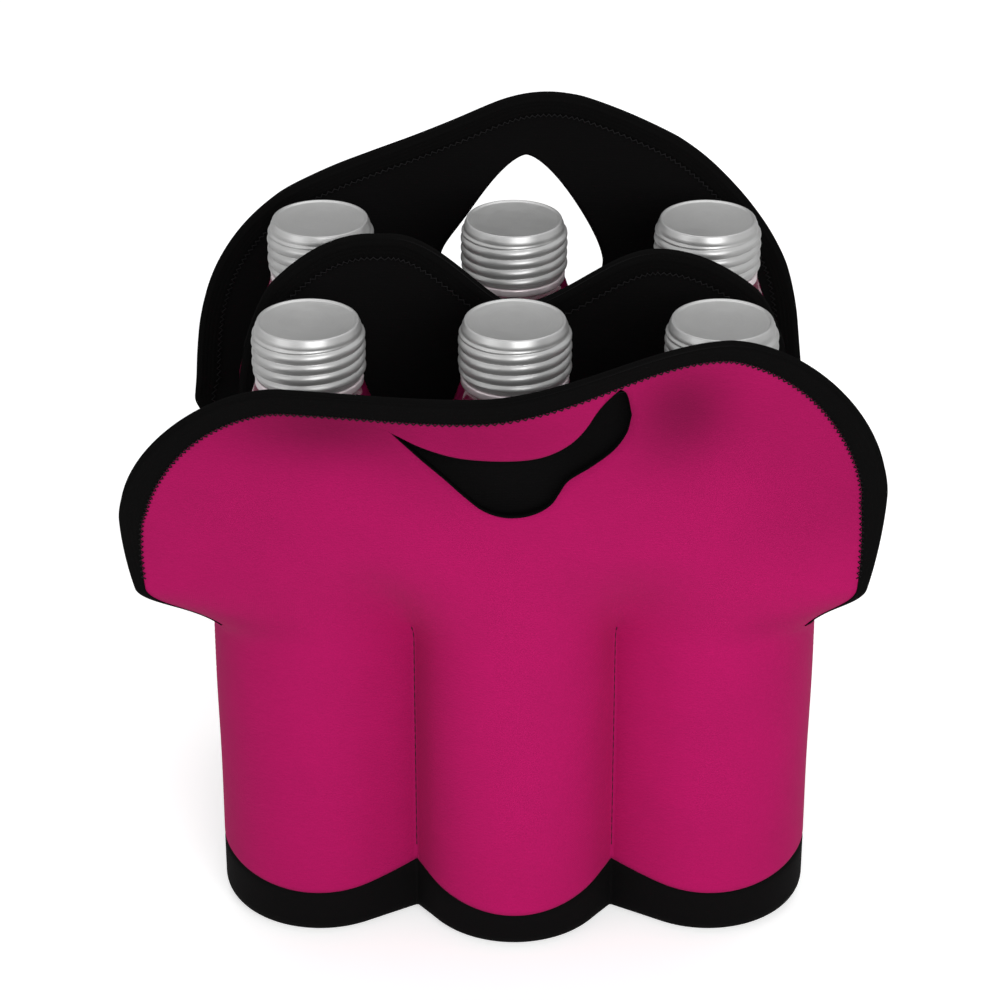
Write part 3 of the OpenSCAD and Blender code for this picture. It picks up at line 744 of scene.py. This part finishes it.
def seam_stitches(name, pose, side):
    """Lock stitches down a pocket crease: a thread whose thickness rises and falls once for each stitch."""
    z = np.arange(27 * MM, WEB_H + 3 * MM, 0.35 * MM)
    u = np.full(len(z), side * CREASE_U)
    path = sheet(u, z, SHEET_T / 2 - 0.02 * MM, pose)
    beat = np.abs(np.sin(math.pi * z / CREASE_PITCH)) ** 0.6
    return thread(name, [path], 0.08 * MM + 0.24 * MM * beat, wine_thread)


def base_shell():
    """Tray of black sheet: rings of the pockets' outline, drawn in round the lower edge, up the outside to the
    scalloped rim, down the inside and across the floor."""
    u = np.linspace(-HALF, HALF, 341)
    def outline(offset):
        x, y = (along_half(u, MID[:, k]) + offset * along_half(u, OUT[:, k]) for k in (0, 1))
        x = np.sign(u) * x
        front = np.stack([x, y], 1)
        return np.concatenate([front, (front * [1, -1])[::-1]])
    rim = band_h(outline(0)[:, 0])
    half = SHEET_T / 2
    rings = []
    def ring(line, height):
        rings.append(np.concatenate([line, np.broadcast_to(height, len(line))[:, None]], 1))
    for share in np.linspace(0.02, 0.98, 22):
        ring(outline(half - BASE_ROUND) * share, 0)
    for a in np.radians(np.linspace(0, 90, 12)):
        ring(outline(half - BASE_ROUND * (1 - math.sin(a))), BASE_ROUND * (1 - math.cos(a)))
    for share in np.linspace(0.15, 1, 6):
        ring(outline(half), mix(BASE_ROUND, rim - 1.2 * MM, share))
    for down in np.array([0.8, 0.4, 0]) * MM:
        ring(outline(half - SEAM_PINCH * bump(down, 0, 0.7 * MM)), rim - down)
    ring(outline(-half + 0.3 * MM), rim)
    for share in np.linspace(1, 0, 6):
        ring(outline(-half), mix(FLOOR_T, rim - 0.4 * MM, share))
    for share in np.linspace(0.97, 0.02, 22):
        ring(outline(-half) * share, FLOOR_T)
    points = np.array(rings)
    rows, cols = points.shape[:2]
    here = np.arange(cols)
    ahead = np.roll(here, -1)
    last = (rows - 1) * cols
    low_cap = np.stack([np.full(cols, rows * cols), ahead, here], -1)
    top_cap = np.stack([np.full(cols, rows * cols + 1), here + last, ahead + last], -1)
    faces = quads(rows, cols, around=True).tolist() + low_cap.tolist() + top_cap.tolist()
    ring_step = 1.5 * MM
    across = points[..., 2] + np.arange(rows)[:, None] * ring_step
    map_ = np.stack([np.broadcast_to(run_along(points[30]), (rows, cols)), across], -1)
    map_ = np.concatenate([map_.reshape(-1, 2), np.zeros((2, 2))])
    points = np.concatenate([points.reshape(-1, 3), [[0, 0, 0], [0, 0, FLOOR_T]]])
    return make("base_shell", points, faces, black, cloth=map_)


def divider_top(x):
    """Top line of the middle wall: a dip in the middle, a hump on each side, the left one fuller, lower again
    at the ends, where its corners are rounded."""
    dip_h, left_h, right_h, end_h, hump_x, corner_x = 196 * MM, 221, 215, 192 * MM, 46, 78 * MM
    a = np.abs(x)
    top = np.where(x < 0, left_h, right_h) * MM
    share = a / (hump_x * MM)
    inside = mix(dip_h, top, ease(np.where(x < 0, 1.12 * share ** 0.8, share)))
    outside = mix(top, end_h, ((a - hump_x * MM) / ((DIVIDER_HALF - hump_x) * MM)) ** 2)
    outside = outside - 10 * MM * ((a - corner_x).clip(0) / (10 * MM)) ** 2
    return np.where(a < hump_x * MM, inside, outside)


def divider_place(u, z, offset):
    """The middle wall's surface: a plane between the rows with a slow wave in its free part."""
    wave = 0.9 * MM * np.sin(u / (24 * MM)) * ease((z - 118 * MM) / (50 * MM))
    return np.stack([u + 0 * z, -offset + wave, z + 0 * u], -1)


def divider_line():
    """Free edge of the middle wall, from its left side over both humps to its right side."""
    x = np.linspace(-DIVIDER_HALF, DIVIDER_HALF, 261) * MM
    top = np.stack([x, divider_top(x)], 1)
    left = np.array([[-92, 130], [-89.8, 172]]) * MM
    return even(np.concatenate([left, top, left[::-1] * [-1, 1]]), 420)


def closed_slab(name, flat, place, thickness):
    """A black sheet with two faces and a closed edge, from a grid of lengths and heights."""
    rows, cols = flat.shape[:2]
    front = place(flat[..., 0], flat[..., 1], thickness / 2)
    back = place(flat[..., 0], flat[..., 1], -thickness / 2)
    size = rows * cols
    skin = quads(rows, cols)
    loop = np.concatenate([np.arange(cols), np.arange(1, rows) * cols + cols - 1,
                           (rows - 1) * cols + np.arange(cols - 2, -1, -1), np.arange(rows - 2, 0, -1) * cols])
    nxt = np.roll(loop, -1)
    rims = np.stack([nxt, loop, loop + size, nxt + size], -1)
    faces = np.concatenate([skin, skin[:, ::-1] + size, rims])
    return make(name, np.stack([front, back]), faces, black, cloth=np.stack([flat, flat]))


def middle_wall():
    """The wall between the rows: straight rows of points from the floor to its top line, as wide as its outline
    is at each height."""
    k = np.linspace(-1, 1, 161)[None, :]
    t = np.linspace(0, 1, 90)[:, None]
    top = divider_top(k * DIVIDER_HALF * MM) - 1.2 * MM
    z = mix(FLOOR_T + 0.1 * MM, top, t)
    heights = np.array([3, 15, 18, 84, 130, 172, 182, 215]) * MM
    widths = np.array([92.5, 92.5, 97.5, 97.5, 92, 89.8, 88, 87]) * MM
    x = k * np.interp(z, heights, widths)
    return closed_slab("middle_wall", np.stack([x, z], -1), divider_place, DIVIDER_T)


def short_wall(name, pose, side):
    """Wall from the middle wall to a crease, its top edge sagging a little."""
    t = np.linspace(0, 1, 40)[:, None]
    s = np.linspace(0, 1, 30)[None, :]
    z = mix(FLOOR_T + 0.1 * MM, WEB_H, t) - 3 * MM * t ** 3 * np.sin(math.pi * s)
    far = sheet(np.full(z.shape, side * CREASE_U), z, -SHEET_T / 2, dict(pose, turn=1))[..., 1] + 0.1 * MM
    y = mix(-1.7 * MM, far, s)
    def place(u, h, offset):
        wave = 0.5 * MM * np.sin(h / (17 * MM)) * np.sin(math.pi * s)
        return np.stack([side * PITCH / 2 - offset + wave + 0 * u, u * pose["turn"], h], -1)
    piece = closed_slab(name, np.stack([y, z], -1), place, WEB_T)
    if pose["turn"] < 0:
        piece.data.flip_normals()
    return piece


def pouch(name, pose):
    """Shallow finger pouch behind the slot: sewn flat round its border and hollowed in the middle by the root
    of a sine across it times a cosine along it."""
    lower, upper = slot_outline()
    cols, rows = 90, 40
    c = np.linspace(-1, 1, cols)[None, :]
    r = np.linspace(0, 1, rows)[:, None]
    x = 3 * MM + c * POUCH_CUT[0] / 2
    low = np.interp(x, lower[:, 0], lower[:, 1]) - POUCH_BORDER
    top = np.interp(x, upper[:, 0], upper[:, 1]) + POUCH_BORDER
    edge_x, edge_z = FRONT_EDGE[:, 0], FRONT_EDGE[:, 1]
    high = np.minimum(top, np.interp(x, edge_x[130:-130], edge_z[130:-130]) - TAPE_W - 2 * MM)
    low, high = (np.convolve(np.pad(line[0], 7, mode="edge"), np.full(15, 1 / 15), "valid")[None]
                 for line in (low, high))
    drawn_in = 0.5 * (high - low) * (1 - np.sqrt(1 - 0.96 * np.abs(c) ** 7))
    z = mix(low + drawn_in, high - drawn_in, r)
    depth = POUCH_DEPTH * np.sqrt(np.sin(math.pi * r) * np.cos(c * math.pi / 2).clip(0))
    flat = np.stack([x + 0 * z, z], -1)
    def place(u, h, offset):
        return sheet(u, h, -SHEET_T / 2 - 0.8 * MM - depth + offset, pose)
    piece = closed_slab(name, flat, place, POUCH_T)
    return piece, cut_area(flat.reshape(-1, 2), quads(rows, cols))


FRONT_EDGE = front_edge()
REAR_EDGE = handle_edge()


def side_tape(name, side):
    """Folded tape that stands out from a side seam and sinks into the cloth at both ends."""
    edge = through([(-95, 19), (-98.6, 20.4), (-100.8, 24), (-101.4, 32), (-101.4, 70), (-100.9, 80),
                    (-98.8, 86), (-95.2, 89)], 160) * MM
    def place(u, z, offset):
        return np.stack([-side * u, offset + 0 * u, z + 0 * u], -1)
    return bound_edge(name, edge, np.full(len(edge), 0.8 * TAPE_W), place, -side)


def dress(piece, body, finish, *solids):
    """Hangs a piece on the body that carries it, when one is given, and hides the solids it stands for; the
    name of its finish is not used.
    """
    if body:
        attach(piece, body)
    if solids:
        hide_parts(*solids)
    return piece


def dress_sheet(label, pose, edge, hole, solids):
    """One side of the tote: its sheet, tape and threads, all shaped on the same surface through the flap's
    bend.
    """
    def place(u, z, offset):
        return sheet(u, z, offset, pose)
    width = tape_width(edge, pose["ramp"], pose["drawn"])
    cloth, area = two_faced(f"{label}_sheet", pose, edge + inwards(edge) * (CLOTH_TUCK * width)[:, None], hole)
    dress(cloth, None, "magenta_sheet", *solids[:2])
    bound = dress(bound_edge(f"{label}_tape", edge, width, place, pose["turn"]), None, "black_tape", solids[2])
    lock = dress(zigzag(f"{label}_overlock", edge, width, place), None, "black_tape")
    for piece in (cloth, bound, lock):
        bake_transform(piece)
    for side, word in SIDES:
        dress(seam_stitches(f"{label}_crease_{word}", pose, side), "tote", "magenta_sheet")
        wall = short_wall(f"{label}_wall_{word}", pose, side)
        dress(wall, "tote", "black_sheet", f"web_{label}_{word}")


side_tapes = [dress(side_tape(f"side_tape_{word}", side), "tote", "black_tape") for side, word in SIDES]
dress_sheet("front", FRONT, FRONT_EDGE, slot_hole,
            ("front_panel", "front_flap", "front_binding"))
dress_sheet("rear", REAR, REAR_EDGE, grip_hole,
            ("rear_panel", "handle_flap", "handle_binding"))

finger_pouch, pouch_area = pouch("finger_pouch", FRONT)
dress(finger_pouch, "front_half", "black_sheet", "grip_lining")

tray = dress(base_shell(), "tote", "black_sheet", "base_panel")

wall = dress(middle_wall(), "tote", "black_sheet", "divider")
line = divider_line()
wall_width = np.full(len(line), TAPE_W)
wall_tape = dress(bound_edge("middle_tape", line, wall_width, divider_place, 1),
                  "tote", "black_tape", "divider_binding")
wall_lock = dress(zigzag("middle_overlock", line, wall_width, divider_place), "tote", "black_tape")


# Bottles and caps

BOTTLE_R = 29 * MM
NECK_R = 17 * MM
LIP_R = 15.5 * MM
BOTTLE_H = 204.5 * MM
SHOULDER_Z = 152 * MM
NECK_Z = 185.3 * MM
GLASS_T = 2.5 * MM
CAP_FOOT = 188.3 * MM
CAP_H = 18.5 * MM
CAP_TOP = CAP_FOOT + CAP_H
PUNT = np.array([[0, 4], [6, 3.9], [12, 3.5], [16, 3]]) * MM


def turned(name, profile, where, paint, turns, warp=None):
    """A profile of radii and heights carried round an upright axis (x and y are the radius times the cosine and
    the sine of the angle), with an optional change of radius that depends on the angle. The profile starts and
    ends on the axis or meets itself."""
    a = np.linspace(0, 2 * math.pi, turns, endpoint=False)[None, :]
    r = profile[:, 0][:, None] + 0 * a
    z = profile[:, 1][:, None] + 0 * a
    if warp is not None:
        r = warp(r, z, a)
    points = np.stack([where[0] + r * np.cos(a), where[1] + r * np.sin(a), where[2] + z], -1)
    run = run_along(profile)
    map_ = np.stack([a * 18 * MM + 0 * r, run[:, None] + 0 * r], -1)
    piece = make(name, points, quads(len(profile), turns, around=True), paint, cloth=map_)
    weld(piece)
    return piece


def glass_side(inset):
    """Outside of the glass from the foot to the ledge under the band, moved in by a distance: straight runs
    joined by arcs."""
    lean = math.atan((BOTTLE_R - NECK_R) / (NECK_Z - SHOULDER_Z))
    heel = arc(np.array([BOTTLE_R - 5 * MM, 5 * MM]), 5 * MM - inset, -math.pi / 2, 0, 10)
    run = 25 * MM * math.tan(lean / 2)
    bend = arc(np.array([BOTTLE_R - 25 * MM, SHOULDER_Z - run]), 25 * MM - inset, 0, lean, 14)
    ledge = np.array([[NECK_R - inset / math.cos(lean), NECK_Z]])
    wall_z = np.linspace(0.1, 0.9, 8)[:, None]
    return np.concatenate([heel, mix(heel[-1], bend[0], wall_z), bend, mix(bend[-1], ledge[0], wall_z), ledge])


def screw(r, z, a):
    """Two low turns of thread on the glass finish."""
    turn = (z - NECK_Z - 6 * MM) / (4.2 * MM) - a / (2 * math.pi)
    band = np.clip((z - NECK_Z - 5 * MM) / MM, 0, 1) * np.clip((BOTTLE_H - 3 * MM - z) / MM, 0, 1)
    outer = r > LIP_R - 0.2 * MM
    return r + np.where(outer, 0.3 * MM * band * np.clip(np.cos(2 * math.pi * turn), 0, 1), 0)


def glass_bottle(name, where):
    """Glass from the punt round the heel, up the wall and the threaded finish, over the lip and down inside."""
    outside = glass_side(0)
    finish_z = np.linspace(NECK_Z + 0.4 * MM, BOTTLE_H - 1 * MM, 34)[:, None]
    finish = np.concatenate([np.full_like(finish_z, LIP_R), finish_z], 1)
    lip = arc(np.array([LIP_R - 1 * MM, BOTTLE_H - 1 * MM]), 1 * MM, 0, math.pi / 2, 4)
    inner_lip = np.array([[LIP_R - GLASS_T + 0.5 * MM, BOTTLE_H], [LIP_R - GLASS_T, BOTTLE_H - 0.5 * MM],
                          [LIP_R - GLASS_T, NECK_Z]])
    inside_foot = (PUNT + [0, GLASS_T])[::-1]
    profile = np.concatenate([PUNT, outside, finish, lip, inner_lip, glass_side(GLASS_T)[::-1], inside_foot])
    return turned(name, profile, where, glass, 96, screw)


def drink_body(name, where):
    """The liquid, a hair into the glass so that no air gap shows between them, with a rim that climbs the
    wall."""
    t = GLASS_T - 0.08 * MM
    level = BOTTLE_H - 3.6 * MM
    r = LIP_R - t
    surface = np.array([[r, NECK_Z], [r, level], [r - 0.4 * MM, level - 0.25 * MM],
                        [r - 1.6 * MM, level - 0.5 * MM], [0, level - 0.5 * MM]])
    profile = np.concatenate([PUNT + [0, t], glass_side(t), surface])
    return turned(name, profile, where, drink_red, 64)


def rolled(r, z, a):
    """Rolled rings that climb like a thread: the skirt swells between narrow grooves, less at its two ends."""
    turn = (z - CAP_FOOT - 1.1 * MM) / (3.5 * MM) - a / (2 * math.pi)
    ring = np.abs(np.sin(math.pi * turn)) ** 0.75
    ends = ease((z - CAP_FOOT - 0.9 * MM) / (1.1 * MM)) * ease((CAP_TOP - 3.1 * MM - z) / (1.5 * MM))
    skirt = (r > 16.2 * MM) & (z < CAP_TOP - 2.6 * MM)
    pressed = 0.05 * MM * np.sin(5 * a + z / (1.3 * MM))
    return r + np.where(skirt, (0.15 + 0.95 * ring) * ends * MM + pressed * ends, 0)


def rolled_cap(name, where):
    """Top disc with a slim raised rim, a rolled skirt, a cut lower edge and the hollow inside."""
    top = np.array([[0, -0.5], [14.6, -0.5], [14.95, -0.38], [15.15, -0.1], [15.45, 0], [15.8, -0.08],
                    [16, -0.35], [16.15, -0.9], [16.55, -1.7], [16.75, -2.5]]) * MM + [0, CAP_TOP]
    skirt_z = np.linspace(CAP_TOP - 2.7 * MM, CAP_FOOT + 0.9 * MM, 72)[:, None]
    skirt = np.concatenate([np.full_like(skirt_z, 16.75 * MM), skirt_z], 1)
    curl = np.array([[16.7, 0.6], [16.55, 0.25]]) * MM + [0, CAP_FOOT]
    inside = np.array([[16.5, 0], [15.95, 0.1]]) * MM + [0, CAP_FOOT]
    hollow = np.array([[15.95, -1.2], [15.6, -0.95], [0, -0.95]]) * MM + [0, CAP_TOP]
    profile = np.concatenate([top, skirt, curl, inside, hollow])
    return turned(name, profile[::-1], where, metal, 128, rolled)


def neck_band(name, where):
    """Band left on the neck: a beaded ring with short bridges standing on its upper edge."""
    low, high = NECK_Z + 0.1 * MM, NECK_Z + 2.75 * MM
    profile = np.array([[15.95, low], [16.6, low], [17.05, low + 0.5 * MM], [16.85, low + 1.2 * MM],
                        [17.0, high - 0.6 * MM], [16.7, high], [15.95, high], [15.95, low]])
    profile[:, 0] *= MM
    def bridges(r, z, a):
        return r + np.where((z > low + 0.8 * MM) & (r > 16.3 * MM), 0.14 * MM * np.cos(a * 24).clip(0) ** 2, 0)
    return turned(name, profile, where, band_paint, 192, bridges)


def seal_disc(name, where):
    """Soft disc that lies on the lip, thinner toward its edge."""
    profile = np.array([[0, 0.2], [14.8, 0.2], [15.4, 0.5], [15.4, 1.1], [15, 1.35], [0, 1.35]]) * MM
    return turned(name, profile + [0, BOTTLE_H], where, seal, 64)


# Each piece of a capped bottle, the body that carries it, the solid it stands for and its finish
CAPPED_BOTTLE = (
    ("glass", glass_bottle, "bottle", "bottle", "bottle_glass"),
    ("drink", drink_body, "bottle", "drink", "drink"),
    ("neck_band", neck_band, "bottle", "tamper_band", "band_metal"),
    ("rolled_cap", rolled_cap, "cap", "cap", "cap_metal"),
    ("seal", seal_disc, "cap", "cap_liner", "liner_plastic"),
)
for row, y in (("front", -ROW_Y), ("rear", ROW_Y)):
    for word, x in (("left", -PITCH), ("centre", 0.0), ("right", PITCH)):
        for kind, build, body, solid, finish in CAPPED_BOTTLE:
            spot = f"{row}_{word}"
            dress(build(f"{kind}_{spot}", (x, y, FLOOR_T)), f"{body}_{spot}", finish, f"{solid}_{spot}")


# Stage, lamps and camera

def seen_white(tree, sky):
    """The sky's background shader with plain white mixed in for what the camera, a mirror or glass sees."""
    path = tree.nodes.new("ShaderNodeLightPath")
    reflected = maths(tree, "MAXIMUM", path.outputs["Is Glossy Ray"], path.outputs["Is Transmission Ray"])
    white = node(tree, "ShaderNodeBackground", Color=(1, 1, 1, 1), Strength=1.0)
    blend = tree.nodes.new("ShaderNodeMixShader")
    tree.links.new(maths(tree, "MAXIMUM", path.outputs["Is Camera Ray"], reflected), blend.inputs[0])
    tree.links.new(sky.outputs[0], blend.inputs[1])
    tree.links.new(white.outputs[0], blend.inputs[2])
    return blend.outputs[0]


def pale_floor():
    """A wide floor that curves up behind in a quarter of a circle, seen as plain white."""
    s = np.linspace(0, 1, 60)
    y = np.concatenate([np.linspace(-4, 2.2, 30), 2.2 + np.sin(s * math.pi / 2) * 1.2])
    z = np.concatenate([np.zeros(30), (1 - np.cos(s * math.pi / 2)) * 1.2])
    y = np.append(y, 3.4)
    z = np.append(z, 4.5)
    x = np.linspace(-4, 4, 20)
    points = np.stack([x[None] + 0 * y[:, None], y[:, None] + 0 * x[None], z[:, None] + 0 * x[None]], -1)
    paint, tree, shader = material("pale_floor", Base_Color=(0.82, 0.82, 0.82, 1), Roughness=0.9,
                                   Emission_Color=(1, 1, 1, 1))
    path = tree.nodes.new("ShaderNodeLightPath")
    seen = maths(tree, "MAXIMUM", path.outputs["Is Camera Ray"], path.outputs["Is Transmission Ray"])
    tree.links.new(maths(tree, "MULTIPLY", seen, 0.55), shader.inputs["Emission Strength"])
    make("floor", points, quads(len(y), len(x)), paint)


def stand(name, data, place, target):
    """A lamp or camera that stands at a place and looks at a target."""
    made = put(name, data)
    made.location = place
    made.rotation_euler = (Vector(target) - Vector(place)).to_track_quat("-Z", "Y").to_euler()
    return made


def lamp(name, place, size, power):
    """A soft oblong lamp that looks at the tote's middle."""
    light = bpy.data.lights.new(name, "AREA")
    light.shape = "RECTANGLE"
    light.size, light.size_y = size
    light.energy = power
    stand(name, light, place, (0, 0, 0.12))


pale_floor()
lamp("key", (0.45, -1.6, 0.85), (1.1, 0.9), 18)
lamp("fill", (-1.5, -1.2, 0.6), (1.2, 1.0), 6)
lamp("above", (0.1, 0.4, 1.9), (1.6, 1.2), 10)

world = bpy.data.worlds.new("studio")
bpy.context.scene.world = world
world.use_nodes = True
sky = world.node_tree.nodes["Background"]
sky.inputs["Color"].default_value = (1, 1, 1, 1)
sky.inputs["Strength"].default_value = 0.34
surface = world.node_tree.nodes["World Output"].inputs["Surface"]
world.node_tree.links.new(seen_white(world.node_tree, sky), surface)

camera_data = bpy.data.cameras.new("camera")
camera_data.sensor_width = 36
camera_data.lens = 118.64
view_distance = 1.1
view_angle = math.radians(28)
aim = Vector((-0.00469, 0, 0.1249))
eye = aim + Vector((0, -math.cos(view_angle), math.sin(view_angle))) * view_distance
bpy.context.scene.camera = stand("camera", camera_data, eye, aim)
bpy.context.scene.view_settings.view_transform = "Standard"

bpy.context.view_layer.update()
